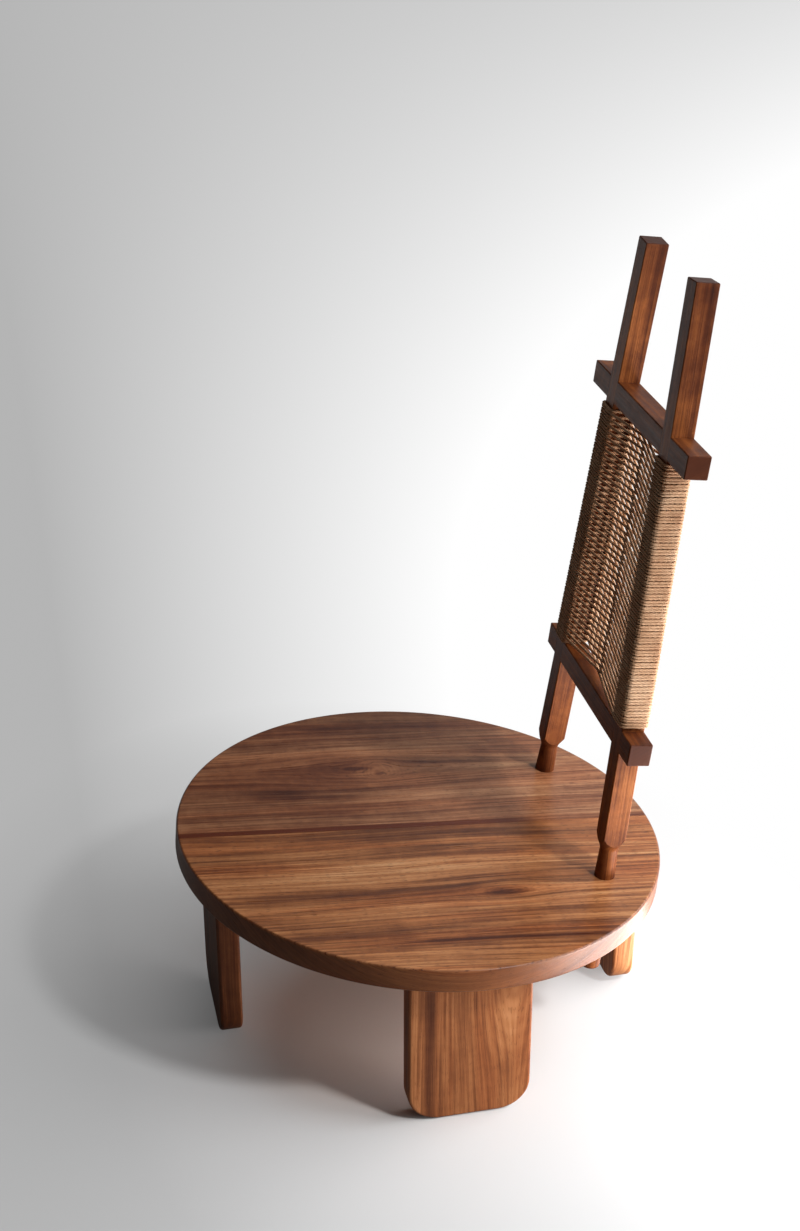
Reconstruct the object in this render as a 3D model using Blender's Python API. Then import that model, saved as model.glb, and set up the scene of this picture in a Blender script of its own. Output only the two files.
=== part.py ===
"""Low chair: round slab seat, four slab legs, splayed back posts and a wound cord back.

Metres, +Z up, floor at z = 0. The chair faces -Y and its left side is +X.
Each piece is modelled in its own frame and then placed: the seat frame lies on the seat's sloping
top, the back frame in the plane of the posts, and a post frame along each post.
"""
import math

import bmesh
import bpy
import numpy as np
from mathutils import Matrix, Vector

# Driving sizes, in metres; angles in degrees.
GAP = 0.0003  # clearance between pieces that touch

SEAT_RADIUS = 0.300
SEAT_THICKNESS = 0.030
SEAT_HEIGHT = 0.233  # top of the seat above the floor, at its centre
SEAT_SLOPE = 4.7  # fall towards the back
SEAT_EDGE_RADIUS = 0.003
SEAT_SEGMENTS = 96

LEG_WIDTH = 0.147
LEG_THICKNESS = 0.028
LEG_INSET = 0.048  # from the seat's rim to the middle of the slab
LEG_CORNER_RADIUS = 0.038
LEG_EDGE_RADIUS = 0.004

LEG_DOWEL_RADIUS = 0.006
LEG_DOWEL_SPACING = 0.080
LEG_DOWEL_IN_SEAT = 0.019
LEG_DOWEL_IN_LEG = 0.025

SEAT_DOWEL_RADIUS = 0.004
SEAT_DOWEL_LENGTH = 0.050
SEAT_DOWEL_SPACING = 0.130
SEAT_DOWEL_COUNT = 3
DOWEL_CHAMFER = 0.001
DOWEL_SEGMENTS = 20

POST_SECTION = 0.028
POST_EDGE_RADIUS = 0.0015
POST_HEIGHT = 0.727  # above the seat, along the post
POST_SPACING = 0.2565  # between the post axes on the seat's top
POST_INSET = 0.099  # from the seat's rim, at the back, to the post axes
POST_LEAN = 2.6  # backwards from square to the seat
POST_SPLAY = 3.75  # each post leans inwards by this
POST_SEGMENTS = 32

TENON_RADIUS = 0.01225  # round lower end, where it enters the seat
TENON_BELOW_SEAT = 0.097
TENON_END_RADIUS = 0.006
NECK_RADIUS = 0.011  # the round end is slimmest here, under the shoulder
NECK_HEIGHT = 0.036
SHOULDER_HEIGHT = 0.024  # from round neck to full square
SHOULDER_STEPS = 6

RAIL_LENGTH = 0.323
RAIL_HEIGHT = 0.028
LOWER_RAIL_BOTTOM = 0.170  # above the seat, along the back
UPPER_RAIL_BOTTOM = 0.526

CORD_RADIUS = 0.0021
CORD_LOOPS = 24
CORD_CLEARANCE = 0.0005  # between the faceted cord and the wood

WOOD_SEAT = (0.30, 0.13, 0.06)
WOOD_LEG = (0.27, 0.11, 0.05)
WOOD_BACK = (0.25, 0.10, 0.045)
WOOD_DOWEL = (0.52, 0.36, 0.20)
CORD_COLOUR = (0.56, 0.38, 0.22)

SLOPE = math.radians(SEAT_SLOPE)
LEAN = math.radians(POST_LEAN)
SPLAY = math.radians(POST_SPLAY)
MARGIN = 0.010  # how far a cutting tool runs past the wood

POST_SET_BACK = SEAT_RADIUS - POST_INSET

SEAT_FRAME = Matrix.Translation((0, 0, SEAT_HEIGHT)) @ Matrix.Rotation(-SLOPE, 4, "X")
BACK_FRAME = SEAT_FRAME @ Matrix.Translation((0, POST_SET_BACK, 0)) @ Matrix.Rotation(-LEAN, 4, "X")


def post_frame(side):
    """Frame along one post's axis, with its origin on the seat's top."""
    foot = Matrix.Translation((side * POST_SPACING / 2, 0, 0))
    return BACK_FRAME @ foot @ Matrix.Rotation(-side * SPLAY, 4, "Y")


def arc(centre, radius, start, end, steps):
    """Points of an arc, both ends included; angles in degrees."""
    angles = [math.radians(start + (end - start) * i / steps) for i in range(steps + 1)]
    return [(centre[0] + radius * math.cos(a), centre[1] + radius * math.sin(a)) for a in angles]


def lathe(profile, segments):
    """Solid of revolution about Z from (radius, height) points that start and end on the axis."""
    bm = bmesh.new()
    verts = [bm.verts.new((radius, 0, height)) for radius, height in profile]
    edges = [bm.edges.new(pair) for pair in zip(verts, verts[1:])]
    bmesh.ops.spin(bm, geom=verts + edges, cent=(0, 0, 0), axis=(0, 0, 1),
                   angle=2 * math.pi, steps=segments, use_merge=True)
    bmesh.ops.remove_doubles(bm, verts=bm.verts, dist=1e-6)
    bmesh.ops.recalc_face_normals(bm, faces=bm.faces)
    return bm


def rod(radius, low, high, chamfer, segments):
    """Round rod along Z with chamfered ends."""
    profile = [(0, low), (radius - chamfer, low), (radius, low + chamfer),
               (radius, high - chamfer), (radius - chamfer, high), (0, high)]
    return lathe(profile, segments)


def drill(radius, low, high, segments):
    """Round cutting tool along Z."""
    return lathe([(0, low), (radius, low), (radius, high), (0, high)], segments)


def block(low, high, edge_radius=0):
    """Box between two corners, with its edges rounded over if a radius is given."""
    bm = bmesh.new()
    bmesh.ops.create_cube(bm, size=1)
    size = Vector(high) - Vector(low)
    middle = (Vector(high) + Vector(low)) / 2
    bm.transform(Matrix.Translation(middle) @ Matrix.Diagonal((*size, 1)))
    if edge_radius:
        bmesh.ops.bevel(bm, geom=bm.edges[:], offset=edge_radius, segments=2, profile=0.5,
                        affect="EDGES", clamp_overlap=True)
    return bm


def keep_below(bm, point, normal):
    """Saw off what lies beyond a plane and close the cut."""
    geometry = bm.verts[:] + bm.edges[:] + bm.faces[:]
    bmesh.ops.bisect_plane(bm, geom=geometry, plane_co=point, plane_no=normal, clear_outer=True)
    open_edges = [edge for edge in bm.edges if edge.is_boundary]
    bmesh.ops.holes_fill(bm, edges=open_edges, sides=0)
    bmesh.ops.recalc_face_normals(bm, faces=bm.faces)


def material(name, colour, roughness):
    mat = bpy.data.materials.new(name)
    mat.use_nodes = True
    shader = mat.node_tree.nodes["Principled BSDF"]
    shader.inputs["Base Color"].default_value = (*colour, 1)
    shader.inputs["Roughness"].default_value = roughness
    shader.inputs["Metallic"].default_value = 0
    return mat


def add_object(name, bm, placement):
    """Turn a bmesh into an object that stands in the given frame."""
    mesh = bpy.data.meshes.new(name)
    bm.to_mesh(mesh)
    bm.free()
    obj = bpy.data.objects.new(name, mesh)
    bpy.context.scene.collection.objects.link(obj)
    obj.matrix_world = placement
    return obj


def combine(obj, tool, operation):
    """Apply a boolean with a tool object and throw the tool away."""
    step = obj.modifiers.new(operation.lower(), "BOOLEAN")
    step.operation = operation
    step.solver = "EXACT"
    step.object = tool
    bpy.context.view_layer.objects.active = obj
    bpy.ops.object.modifier_apply(modifier=step.name)
    bpy.data.objects.remove(tool)


def cut(obj, tool_bm, placement):
    combine(obj, add_object("tool", tool_bm, placement), "DIFFERENCE")


def finish(obj, colour, roughness):
    """Weld stray points left by the cuts and give the piece its own material."""
    bm = bmesh.new()
    bm.from_mesh(obj.data)
    bmesh.ops.remove_doubles(bm, verts=bm.verts, dist=2e-6)
    bmesh.ops.dissolve_degenerate(bm, edges=bm.edges, dist=1e-6)
    bmesh.ops.recalc_face_normals(bm, faces=bm.faces)
    bm.to_mesh(obj.data)
    bm.free()
    obj.data.shade_smooth()
    obj.data.set_sharp_from_angle(angle=math.radians(35))
    obj.data.materials.clear()
    obj.data.materials.append(material(obj.name, colour, roughness))


def seat_board(name, side):
    """Half of the seat disc, on one side of the glue line."""
    edge = SEAT_EDGE_RADIUS
    rim = SEAT_RADIUS - edge
    profile = [(0, 0)]
    profile += arc((rim, -edge), edge, 90, 0, 3)
    profile += arc((rim, -SEAT_THICKNESS + edge), edge, 0, -90, 3)
    profile += [(0, -SEAT_THICKNESS)]
    bm = lathe(profile, SEAT_SEGMENTS)
    keep_below(bm, (side * GAP / 2, 0, 0), (-side, 0, 0))
    return add_object(name, bm, SEAT_FRAME)


def leg_frame(turn):
    """Frame on the floor under one leg: X along its width, Y outwards through its thickness."""
    outwards = Matrix.Translation((0, SEAT_RADIUS - LEG_INSET, 0))
    return Matrix.Rotation(math.radians(turn), 4, "Z") @ outwards


def leg(name, turn):
    """Upright slab with big round lower corners, sawn off along the seat's sloping underside."""
    half = LEG_WIDTH / 2
    corner = LEG_CORNER_RADIUS
    blank_top = SEAT_HEIGHT + SEAT_RADIUS * math.sin(SLOPE) + MARGIN
    outline = arc((half - corner, corner), corner, -90, 0, 8)
    outline += [(half, blank_top), (-half, blank_top)]
    outline += arc((corner - half, corner), corner, 180, 270, 8)
    bm = bmesh.new()
    face = bm.faces.new([bm.verts.new((x, -LEG_THICKNESS / 2, z)) for x, z in outline])
    swept = bmesh.ops.extrude_face_region(bm, geom=[face])["geom"]
    bmesh.ops.translate(bm, verts=[v for v in swept if isinstance(v, bmesh.types.BMVert)],
                        vec=(0, LEG_THICKNESS, 0))
    bmesh.ops.recalc_face_normals(bm, faces=bm.faces)
    rims = [e for e in bm.edges if abs(e.verts[0].co.y - e.verts[1].co.y) < 1e-6]
    bmesh.ops.bevel(bm, geom=rims, offset=LEG_EDGE_RADIUS, segments=3, profile=0.5,
                    affect="EDGES", clamp_overlap=True)
    seat_from_leg = leg_frame(turn).inverted() @ SEAT_FRAME
    underside = seat_from_leg @ Vector((0, 0, -SEAT_THICKNESS - GAP))
    keep_below(bm, underside, seat_from_leg.to_3x3() @ Vector((0, 0, 1)))
    return add_object(name, bm, leg_frame(turn))


def leg_dowel_frames(turn):
    """Frames of a leg's two dowels, where they cross the seat's underside, square to it."""
    frames = []
    for side in (-1, 1):
        foot = leg_frame(turn) @ Vector((side * LEG_DOWEL_SPACING / 2, 0, 0))
        fall = foot.y * math.tan(SLOPE) + SEAT_THICKNESS / math.cos(SLOPE)
        spot = Vector((foot.x, foot.y, SEAT_HEIGHT - fall))
        frames.append(Matrix.Translation(spot) @ Matrix.Rotation(-SLOPE, 4, "X"))
    return frames


def seat_dowel_frames():
    """Frames of the dowels across the glue line, with Z along the dowel."""
    first = -SEAT_DOWEL_SPACING * (SEAT_DOWEL_COUNT - 1) / 2
    row = [first + SEAT_DOWEL_SPACING * i for i in range(SEAT_DOWEL_COUNT)]
    across = Matrix.Rotation(math.radians(90), 4, "Y")
    return [SEAT_FRAME @ Matrix.Translation((0, y, -SEAT_THICKNESS / 2)) @ across for y in row]


def post(name, side):
    """Square bar turned down at its foot: shoulder, neck and a round tenon through the seat."""
    half = POST_SECTION / 2
    tip = -SEAT_THICKNESS - TENON_BELOW_SEAT
    full = half * math.sqrt(2) + 0.0007
    profile = [(0, tip)]
    profile += arc((TENON_RADIUS - TENON_END_RADIUS, tip + TENON_END_RADIUS), TENON_END_RADIUS, -90, 0, 4)
    profile += [(TENON_RADIUS, 0.002)]
    for i in range(SHOULDER_STEPS + 1):
        t = i / SHOULDER_STEPS
        swell = t * t * (3 - 2 * t)
        profile.append((NECK_RADIUS + (full - NECK_RADIUS) * swell, NECK_HEIGHT + SHOULDER_HEIGHT * t))
    profile += [(full, POST_HEIGHT + MARGIN), (0, POST_HEIGHT + MARGIN)]
    placement = post_frame(side)
    bar = block((-half, -half, tip - MARGIN), (half, half, POST_HEIGHT), POST_EDGE_RADIUS)
    obj = add_object(name, bar, placement)
    combine(obj, add_object("turning", lathe(profile, POST_SEGMENTS), placement), "INTERSECT")
    for bottom in (LOWER_RAIL_BOTTOM, UPPER_RAIL_BOTTOM):
        reach = RAIL_LENGTH / 2
        notch = block((-reach, -GAP / 2, bottom - GAP), (reach, half + MARGIN, bottom + RAIL_HEIGHT + GAP))
        cut(obj, notch, BACK_FRAME)
    return obj


def rail(name, bottom):
    """Square rail, notched in front so that the posts' front halves run through it."""
    half = POST_SECTION / 2
    reach = RAIL_LENGTH / 2
    bar = block((-reach, -half, 0), (reach, half, RAIL_HEIGHT), POST_EDGE_RADIUS)
    obj = add_object(name, bar, BACK_FRAME @ Matrix.Translation((0, 0, bottom)))
    for side in (-1, 1):
        notch = block((-half - GAP, -half - MARGIN, 0), (half + GAP, GAP / 2, POST_HEIGHT))
        cut(obj, notch, post_frame(side))
    return obj


def half_loop(side, start_height, rise):
    """Twelve points of the cord round one post: front, outer side, back, then on to the crossing.

    Points are in the back frame. The cord climbs steadily, and the post's splay moves it inwards.
    """
    half = POST_SECTION / 2
    bend = POST_EDGE_RADIUS + CORD_CLEARANCE + CORD_RADIUS
    reach = half + CORD_CLEARANCE + CORD_RADIUS
    flank = half / math.cos(SPLAY)
    front_outer = arc((flank - POST_EDGE_RADIUS, POST_EDGE_RADIUS - half), bend, -90, 0, 2)
    back_outer = arc((flank - POST_EDGE_RADIUS, half - POST_EDGE_RADIUS), bend, 0, 90, 2)
    plan = [(-flank, -reach), (0, -reach)]
    plan += front_outer + [(flank + CORD_CLEARANCE + CORD_RADIUS, 0)] + back_outer
    plan += [(0, reach), (-flank, reach)]
    points = []
    for i, (outwards, depth) in enumerate(plan):
        height = start_height + rise * i / (len(plan) + 1)
        axis = POST_SPACING / 2 - height * math.tan(SPLAY)
        points.append((side * (axis + outwards), depth, height))
    points.append((0, 0, start_height + rise * len(plan) / (len(plan) + 1)))
    return points


def winding_route():
    """Figures of eight round both posts, from one post's inner face to the other's."""
    low = LOWER_RAIL_BOTTOM + RAIL_HEIGHT + 2 * CORD_RADIUS
    high = UPPER_RAIL_BOTTOM - 2 * CORD_RADIUS
    rise = (high - low) / (2 * CORD_LOOPS)
    route = []
    for i in range(2 * CORD_LOOPS):
        side = -1 if i % 2 == 0 else 1
        route += half_loop(side, low + rise * i, rise)
    route.pop()
    inner = POST_SECTION / 2 / math.cos(SPLAY) + GAP
    start_face = POST_SPACING / 2 - low * math.tan(SPLAY) - inner
    end_face = POST_SPACING / 2 - high * math.tan(SPLAY) - inner
    start = [(start_face, 0, low), (start_face - 2 * CORD_RADIUS, 0, low)]
    end = [(2 * CORD_RADIUS - end_face, 0, high), (-end_face, 0, high)]
    return start + route + end


def winding(name):
    route = winding_route()
    curve = bpy.data.curves.new(name, "CURVE")
    curve.dimensions = "3D"
    curve.bevel_depth = CORD_RADIUS
    curve.bevel_resolution = 1
    curve.use_fill_caps = True
    spline = curve.splines.new("POLY")
    spline.points.add(len(route) - 1)
    for point, place in zip(spline.points, route):
        point.co = (*place, 1)
    curve.materials.append(material(name, CORD_COLOUR, 0.85))
    obj = bpy.data.objects.new(name, curve)
    bpy.context.scene.collection.objects.link(obj)
    obj.matrix_world = BACK_FRAME
    return obj


def least_gap(route, diameter, skip):
    """Least free space between stretches of the cord that are not neighbours along it."""
    points = np.array(route)
    least = math.inf
    for i in range(len(points) - skip):
        least = min(least, np.linalg.norm(points[i + skip:] - points[i], axis=1).min())
    return least - diameter


def stand_on_origin(objects):
    """Hang the pieces on one empty, and move it so that the middle of the box's bottom is the origin."""
    bpy.context.view_layer.update()
    corners = np.array([obj.matrix_world @ Vector(c) for obj in objects for c in obj.bound_box])
    low, high = corners.min(axis=0), corners.max(axis=0)
    chair = bpy.data.objects.new("chair", None)
    bpy.context.scene.collection.objects.link(chair)
    for obj in objects:
        obj.parent = chair
    chair.location = (-(low[0] + high[0]) / 2, -(low[1] + high[1]) / 2, -low[2])
    print("moved to the origin by", [round(v, 5) for v in chair.location])


for old in list(bpy.data.objects):
    bpy.data.objects.remove(old)

LEG_TURNS = {"leg_front": 180, "leg_back": 0, "leg_left": -90, "leg_right": 90}
SIDES = {"left": 1, "right": -1}

parts = []

# Seat: two boards with holes for the tenons and the dowels.
for word, side in SIDES.items():
    board = seat_board("seat_board_" + word, side)
    tenon_hole = drill(TENON_RADIUS + GAP, -SEAT_THICKNESS - MARGIN, MARGIN, POST_SEGMENTS)
    cut(board, tenon_hole, post_frame(side))
    for placement in seat_dowel_frames():
        end = SEAT_DOWEL_LENGTH / 2 + GAP
        cut(board, drill(SEAT_DOWEL_RADIUS + GAP, -end, end, DOWEL_SEGMENTS), placement)
    for turn in LEG_TURNS.values():
        for placement in leg_dowel_frames(turn):
            if placement.translation.x * side > 0:
                tool = drill(LEG_DOWEL_RADIUS + GAP, -LEG_DOWEL_IN_LEG - GAP, LEG_DOWEL_IN_SEAT + GAP,
                             DOWEL_SEGMENTS)
                cut(board, tool, placement)
    finish(board, WOOD_SEAT, 0.45)
    parts.append(board)

for number, placement in enumerate(seat_dowel_frames(), 1):
    end = SEAT_DOWEL_LENGTH / 2
    dowel = rod(SEAT_DOWEL_RADIUS, -end, end, DOWEL_CHAMFER, DOWEL_SEGMENTS)
    parts.append(add_object("seat_dowel_%d" % number, dowel, placement))
    finish(parts[-1], WOOD_DOWEL, 0.6)

# Legs and the dowels that hold them.
for name, turn in LEG_TURNS.items():
    slab = leg(name, turn)
    for placement in leg_dowel_frames(turn):
        tool = drill(LEG_DOWEL_RADIUS + GAP, -LEG_DOWEL_IN_LEG - GAP, LEG_DOWEL_IN_SEAT + GAP, DOWEL_SEGMENTS)
        cut(slab, tool, placement)
    finish(slab, WOOD_LEG, 0.45)
    parts.append(slab)
    for number, placement in enumerate(leg_dowel_frames(turn), 1):
        dowel = rod(LEG_DOWEL_RADIUS, -LEG_DOWEL_IN_LEG, LEG_DOWEL_IN_SEAT, DOWEL_CHAMFER, DOWEL_SEGMENTS)
        parts.append(add_object("%s_dowel_%d" % (name, number), dowel, placement))
        finish(parts[-1], WOOD_DOWEL, 0.6)

# Back: posts, rails and the cord.
for word, side in SIDES.items():
    upright = post("post_" + word, side)
    finish(upright, WOOD_BACK, 0.45)
    parts.append(upright)
for name, bottom in (("lower_rail", LOWER_RAIL_BOTTOM), ("upper_rail", UPPER_RAIL_BOTTOM)):
    bar = rail(name, bottom)
    finish(bar, WOOD_BACK, 0.45)
    parts.append(bar)
parts.append(winding("rope_winding"))

stand_on_origin(parts)
cord_gap = least_gap(winding_route(), 2 * CORD_RADIUS, skip=12)
print("rope_winding: least gap to itself %.2f mm" % (1000 * cord_gap))
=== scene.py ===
import math
import random

import bmesh
import bpy
from mathutils import Matrix, Vector


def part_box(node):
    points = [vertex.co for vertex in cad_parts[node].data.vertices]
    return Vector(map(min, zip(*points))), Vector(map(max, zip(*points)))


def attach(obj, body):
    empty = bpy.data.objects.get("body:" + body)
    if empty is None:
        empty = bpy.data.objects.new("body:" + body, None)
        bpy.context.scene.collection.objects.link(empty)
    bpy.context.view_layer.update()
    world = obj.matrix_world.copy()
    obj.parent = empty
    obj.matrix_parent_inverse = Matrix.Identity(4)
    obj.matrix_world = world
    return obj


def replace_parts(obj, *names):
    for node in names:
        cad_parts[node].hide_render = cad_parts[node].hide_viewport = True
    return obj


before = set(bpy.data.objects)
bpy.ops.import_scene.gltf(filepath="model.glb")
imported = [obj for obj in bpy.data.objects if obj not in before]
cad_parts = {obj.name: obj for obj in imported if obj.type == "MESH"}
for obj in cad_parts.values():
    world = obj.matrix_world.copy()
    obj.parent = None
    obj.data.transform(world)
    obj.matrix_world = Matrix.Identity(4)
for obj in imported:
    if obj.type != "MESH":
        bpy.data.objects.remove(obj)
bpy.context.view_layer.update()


# Seat: two boards of oiled hardwood, edge-glued front to back and turned to one round slab.
# The slab tips back a little on its legs. Its arrises are eased to a small round, and each
# half is bored for one back post and for the hidden dowels.
SEAT_RADIUS = 0.300
SEAT_THICKNESS = 0.030
SEAT_ARRIS = 0.003
SEAT_SLOPE = math.radians(4.7)
FIT = 0.0003  # clearance between pieces that touch
SPARE = 0.02  # how far a tool or a blank runs past the finished wood
SAME = 1e-6  # points closer than this are level or in one place

POST_SPREAD = 0.2565  # between the two post axes on the seat's top
POST_FROM_MIDDLE = 0.201
POST_LEAN = math.radians(2.6)
POST_SPLAY = math.radians(3.75)
TENON_RADIUS = 0.01225

low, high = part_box("seat_board_left")
seat_middle = Vector((0, (low.y + high.y) / 2, (low.z + high.z) / 2))
seat_frame = Matrix.Translation(seat_middle) @ Matrix.Rotation(-SEAT_SLOPE, 4, "X")
seat_frame = seat_frame @ Matrix.Translation((0, 0, SEAT_THICKNESS / 2))
back_frame = seat_frame @ Matrix.Translation((0, POST_FROM_MIDDLE, 0))
back_frame = back_frame @ Matrix.Rotation(-POST_LEAN, 4, "X")


def post_frame(side):
    """Frame along one back post: Z up the post, origin on the seat's top."""
    foot = Matrix.Translation((side * POST_SPREAD / 2, 0, 0))
    return back_frame @ foot @ Matrix.Rotation(-side * POST_SPLAY, 4, "Y")


def choose(kind, test):
    """In edit mode, select only the edges or faces that pass the test."""
    bpy.ops.mesh.select_mode(type=kind)
    bpy.ops.mesh.select_all(action="DESELECT")
    mesh = bmesh.from_edit_mesh(bpy.context.object.data)
    for part in mesh.edges if kind == "EDGE" else mesh.faces:
        part.select_set(test(part))
    bmesh.update_edit_mesh(bpy.context.object.data)


def place(piece, name, where):
    """Name a piece and put its place into its mesh."""
    piece.name = name
    piece.data.name = name
    piece.data.transform(where @ piece.matrix_world)
    piece.matrix_world = Matrix.Identity(4)


def join_with(piece, tool, way):
    """Cut a piece with a tool solid, or keep what the two share, and throw the tool away."""
    step = piece.modifiers.new("cut", "BOOLEAN")
    step.operation = way
    step.solver = "EXACT"
    step.object = tool
    bpy.context.view_layer.objects.active = piece
    bpy.ops.object.modifier_apply(modifier=step.name)
    bpy.data.objects.remove(tool)


def bore(piece, where, radius, bottom, top):
    """Drill a round hole along Z of the given frame."""
    bpy.ops.object.select_all(action="DESELECT")
    bpy.ops.mesh.primitive_cylinder_add(vertices=48, radius=radius, depth=top - bottom,
                                        location=(0, 0, (top + bottom) / 2))
    drill = bpy.context.object
    place(drill, "drill", where)
    join_with(piece, drill, "DIFFERENCE")


def ease(piece, angle):
    """Shade curves smooth and keep flats flat."""
    bpy.ops.object.select_all(action="DESELECT")
    piece.select_set(True)
    bpy.context.view_layer.objects.active = piece
    bpy.ops.object.shade_smooth_by_angle(angle=math.radians(angle))
    step = piece.modifiers.new("flats", "WEIGHTED_NORMAL")
    step.keep_sharp = True
    bpy.ops.object.modifier_apply(modifier=step.name)


def node(tree, kind, inputs, output=0, **settings):
    """Add one shader node; its inputs are values or other nodes' outputs."""
    made = tree.nodes.new("ShaderNode" + kind)
    for key, value in settings.items():
        setattr(made, key, value)
    for key, value in inputs.items():
        if isinstance(value, bpy.types.NodeSocket):
            tree.links.new(value, made.inputs[key])
        else:
            made.inputs[key].default_value = value
    return made.outputs[output]


def ramp(tree, factor, stops):
    """Colour ramp from (position, colour) stops."""
    made = tree.nodes.new("ShaderNodeValToRGB")
    tree.links.new(factor, made.inputs[0])
    elements = made.color_ramp.elements
    while len(elements) < len(stops):
        elements.new(1.0)
    for element, (position, colour) in zip(elements, stops):
        element.position = position
        element.color = (*colour, 1)
    return made.outputs[0]


def slide(tree, value, start, end, low=0.0, high=1.0, way="LINEAR"):
    """Low where the value is at the start of a range, high at its end, and held beyond."""
    return node(tree, "MapRange", {0: value, 1: start, 2: end, 3: low, 4: high}, interpolation_type=way)


def mix(tree, share, one, other, way="MIX"):
    """Lay a second colour over a first by a share."""
    return node(tree, "Mix", {0: share, 6: one, 7: other}, output=2, data_type="RGBA", blend_type=way)


TONE_STOPS = (0.08, 0.32, 0.5, 0.68, 0.95)  # where the five tones of a wood lie, from dark to light
ROSY_TINT = (1.04, 0.80, 0.66, 1)


def oiled_wood(name, where, offset, tones, broad, strips, streaks, lines=0.0, bands=(), knots=(),
               wander=0.03, pored=0.35, mottle=0.0, redness=0.0, calm_sides=0.0, joint=None,
               gloss=0.24, rough=0.40):
    """Hardwood with its grain along Y of the given frame, in five tones from dark to light.

    Broad, strips, streaks and lines are the strength of the grain from coarse to fine, and wander is
    how far it strays. Pored, mottle and redness add pores, clouds and reddish strips, and calm_sides
    quiets the grain round a rim and darkens its eased arris, partly with painted shade.
    Bands are (place across, half width, change of tone, front end, back end).
    Knots are (across, along, reach, core, stretch in front, stretch behind).
    A joint is (width of the strip along a glue line, its share, its red).
    """
    wood = bpy.data.materials.new(name)
    wood.use_nodes = True
    tree = wood.node_tree

    def maths(way, a, b=0.0, c=0.0):
        return node(tree, "Math", {0: a, 1: b, 2: c}, operation=way)

    def bell(share):
        return maths("EXPONENT", maths("MULTIPLY", maths("MULTIPLY", share, share), -1.0))

    def step(value, start, end):
        return slide(tree, value, start, end, way="SMOOTHSTEP")

    def grain_noise(vector, across, along, detail):
        stretched = node(tree, "VectorMath", {0: vector, 1: (across, along, across)}, operation="MULTIPLY")
        return node(tree, "TexNoise", {"Vector": stretched, "Scale": 1.0, "Detail": detail,
                                       "Roughness": 0.6})

    to_board = where.inverted()
    spot = node(tree, "TexCoord", {}, output=3)
    board = node(tree, "Mapping", {"Vector": spot, "Rotation": to_board.to_euler(),
                                   "Location": to_board.translation})
    parts = tree.nodes.new("ShaderNodeSeparateXYZ")
    tree.links.new(board, parts.inputs[0])
    along = parts.outputs[1]
    moved = node(tree, "VectorMath", {0: board, 1: offset}, operation="ADD")
    slow = grain_noise(moved, 5.0, 1.6, 1.0)
    across = maths("MULTIPLY_ADD", maths("SUBTRACT", slow, 0.5), 2 * wander, parts.outputs[0])
    across = maths("MULTIPLY_ADD", parts.outputs[2], 1.5, across)
    knot_tone = 0.0
    for knot_across, knot_along, reach, core, before, behind in knots:
        side = maths("SUBTRACT", across, knot_across)
        run = maths("SUBTRACT", along, knot_along)
        length = maths("ADD", maths("DIVIDE", maths("MINIMUM", run, 0.0), before),
                       maths("DIVIDE", maths("MAXIMUM", run, 0.0), behind))
        far = maths("SQRT", maths("ADD", maths("MULTIPLY", side, side), maths("MULTIPLY", length, length)))
        near = bell(maths("DIVIDE", far, reach))
        across = maths("SUBTRACT", across, maths("MULTIPLY", side, maths("MULTIPLY", near, 0.85)))
        wavy = maths("MULTIPLY_ADD", slow, 0.04, far)
        loops = maths("SINE", maths("MULTIPLY", wavy, 2 * math.pi / (0.16 * reach)))
        knot_tone = maths("MULTIPLY_ADD", maths("MULTIPLY", loops, near), 0.035, knot_tone)
        knot_tone = maths("MULTIPLY_ADD", step(far, core, 0.3 * core), -0.26, knot_tone)
    layers = node(tree, "CombineXYZ", {0: across, 1: along, 2: maths("MULTIPLY", parts.outputs[2], 0.2)})
    layers = node(tree, "VectorMath", {0: layers, 1: offset}, operation="ADD")

    wide = grain_noise(layers, 24.0, 2.4, 2.0)
    strip = step(grain_noise(layers, 85.0, 3.0, 1.0), 0.36, 0.64)
    streak = step(grain_noise(layers, 240.0, 5.0, 2.0), 0.34, 0.66)
    fibre = grain_noise(layers, 620.0, 10.0, 2.0)
    pore = grain_noise(layers, 1050.0, 100.0, 1.0)
    ring = maths("MULTIPLY_ADD", grain_noise(layers, 14.0, 0.9, 2.0), 5.0, maths("MULTIPLY", across, 110.0))
    ring = maths("POWER", maths("SUBTRACT", 1.0, maths("FRACT", ring)), 3.0)
    ring = maths("MULTIPLY", ring, step(grain_noise(layers, 60.0, 3.0, 1.0), 0.38, 0.62))

    tone = maths("MULTIPLY_ADD", maths("SUBTRACT", wide, 0.5), broad, 0.5)
    tone = maths("MULTIPLY_ADD", maths("SUBTRACT", strip, 0.5), strips, tone)
    tone = maths("MULTIPLY_ADD", maths("SUBTRACT", streak, 0.5), streaks, tone)
    tone = maths("MULTIPLY_ADD", maths("SUBTRACT", fibre, 0.5), 0.4, tone)
    tone = maths("MULTIPLY_ADD", ring, -lines, tone)
    tone = maths("ADD", tone, knot_tone)
    for place_across, half_width, change, front, back in bands:
        near = bell(maths("DIVIDE", maths("SUBTRACT", across, place_across), half_width))
        inside = maths("MULTIPLY", step(along, front - 0.03, front + 0.03),
                       step(along, back + 0.03, back - 0.03))
        ragged = maths("MULTIPLY", maths("MULTIPLY", near, inside), maths("ADD", streak, 0.5))
        tone = maths("MULTIPLY_ADD", ragged, change, tone)
    if mottle:
        clouds = node(tree, "TexNoise", {"Vector": moved, "Scale": 45.0, "Detail": 3.0, "Roughness": 0.6})
        tone = maths("MULTIPLY_ADD", maths("SUBTRACT", clouds, 0.5), mottle, tone)

    def facing_along(axis):
        way = (where.to_3x3() @ axis).normalized()
        facing = node(tree, "NewGeometry", {}, output=1)
        share = node(tree, "VectorMath", {0: facing, 1: way}, output=1, operation="DOT_PRODUCT")
        return maths("MULTIPLY", share, share)

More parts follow.
